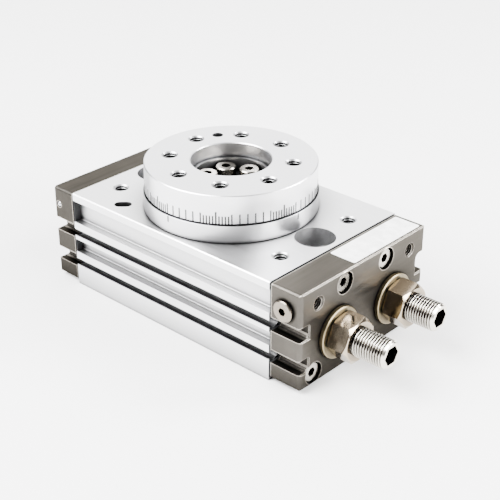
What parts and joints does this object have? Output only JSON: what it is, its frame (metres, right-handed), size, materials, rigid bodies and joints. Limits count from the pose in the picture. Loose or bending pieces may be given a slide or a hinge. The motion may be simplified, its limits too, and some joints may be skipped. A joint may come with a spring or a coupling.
{
  "type": "pneumatic rotary table",
  "caption": "Rack-and-pinion pneumatic rotary table: an aluminium body with twin rack pistons turns a flanged table on ball bearings between adjustable stops.",
  "frame": {"origin": "on the table's axis, in the plane of the mounting base", "axes": "+Z along the table's axis, away from the base; +X along the body, towards the end cover with the two adjusting bolts"},
  "size_m": [0.1387, 0.0663, 0.0535],
  "materials": {
    "anodised": "satin clear anodised",
    "cover_nickel": "brushed, nickel plated",
    "gasket": "matte",
    "screw_nickel": "bright nickel",
    "bolt_nickel": "bright nickel",
    "nut_nickel": "bright nickel",
    "washer_zinc": "yellow passivated",
    "bearing_steel": "ground",
    "cage_steel": "pressed sheet",
    "gear_steel": "hobbed and hardened",
    "piston_steel": "ground",
    "seal_rubber": "matte",
    "wear_ring": "matte",
    "magnet": "matte"
  },
  "bodies": {
    "housing": {"body": "anodised", "near_cover": "cover_nickel", "far_cover": "cover_nickel", "near_gasket": "gasket", "far_gasket": "gasket", "bearing_retainer": "anodised", "retainer_screws": "screw_nickel", "near_cover_screws": "screw_nickel", "far_cover_screws": "screw_nickel", "top_bearing_outer_ring": "bearing_steel", "lower_bearing_outer_ring": "bearing_steel", "lock_nuts": "nut_nickel", "seal_washer_rings": "washer_zinc", "seal_washer_rubbers": "gasket", "side_port_plug": "screw_nickel", "side_plug_gasket": "gasket", "ball_plug": "bearing_steel"},
    "table": {"rotary_table": "anodised", "table_screws": "screw_nickel", "parallel_pin": "bearing_steel", "pinion": "gear_steel", "top_bearing_inner_ring": "bearing_steel", "lower_bearing_inner_ring": "bearing_steel"},
    "left_piston": {"left_piston": "piston_steel", "left_piston_seals": "seal_rubber", "left_piston_wear_rings": "wear_ring", "left_piston_magnet": "magnet"},
    "right_piston": {"right_piston": "piston_steel", "right_piston_seals": "seal_rubber", "right_piston_wear_rings": "wear_ring", "right_piston_magnet": "magnet"},
    "top_ball_cage": {"top_bearing_cage": "cage_steel", "top_bearing_balls": "bearing_steel"},
    "lower_ball_cage": {"lower_bearing_cage": "cage_steel", "lower_bearing_balls": "bearing_steel"},
    "left_adjusting_bolt": {"left_adjusting_bolt": "bolt_nickel"},
    "right_adjusting_bolt": {"right_adjusting_bolt": "bolt_nickel"}
  },
  "joints": [
    {"name": "table_spin", "type": "hinge", "parent": "housing", "child": "table", "pos_m": [0, 0, 0], "axis": [0, 0, 1], "range_deg": [-83.7, 106.3]},
    {"name": "left_piston_slide", "type": "slide", "parent": "housing", "child": "left_piston", "axis": [1, 0, 0], "range_m": [-0.0117, 0.0149]},
    {"name": "right_piston_slide", "type": "slide", "parent": "housing", "child": "right_piston", "axis": [1, 0, 0], "range_m": [-0.0149, 0.0117]},
    {"name": "top_cage_orbit", "type": "hinge", "parent": "housing", "child": "top_ball_cage", "pos_m": [0, 0, 0.034], "axis": [0, 0, 1], "range_deg": [-35.91, 45.59]},
    {"name": "lower_cage_orbit", "type": "hinge", "parent": "housing", "child": "lower_ball_cage", "pos_m": [0, 0, 0.0047], "axis": [0, 0, 1], "range_deg": [-35.05, 44.5]},
    {"name": "left_bolt_slide", "type": "slide", "parent": "housing", "child": "left_adjusting_bolt", "axis": [1, 0, 0], "range_m": [-0.0025, 0.003]},
    {"name": "right_bolt_slide", "type": "slide", "parent": "housing", "child": "right_adjusting_bolt", "axis": [1, 0, 0], "range_m": [-0.0008, 0.003]}
  ],
  "couplings": [
    {"joint": "left_piston_slide", "follows": "table_spin", "m_per_rad": 0.008},
    {"joint": "right_piston_slide", "follows": "table_spin", "m_per_rad": -0.008},
    {"joint": "top_cage_orbit", "follows": "table_spin", "ratio": 0.4284},
    {"joint": "lower_cage_orbit", "follows": "table_spin", "ratio": 0.4182}
  ]
}
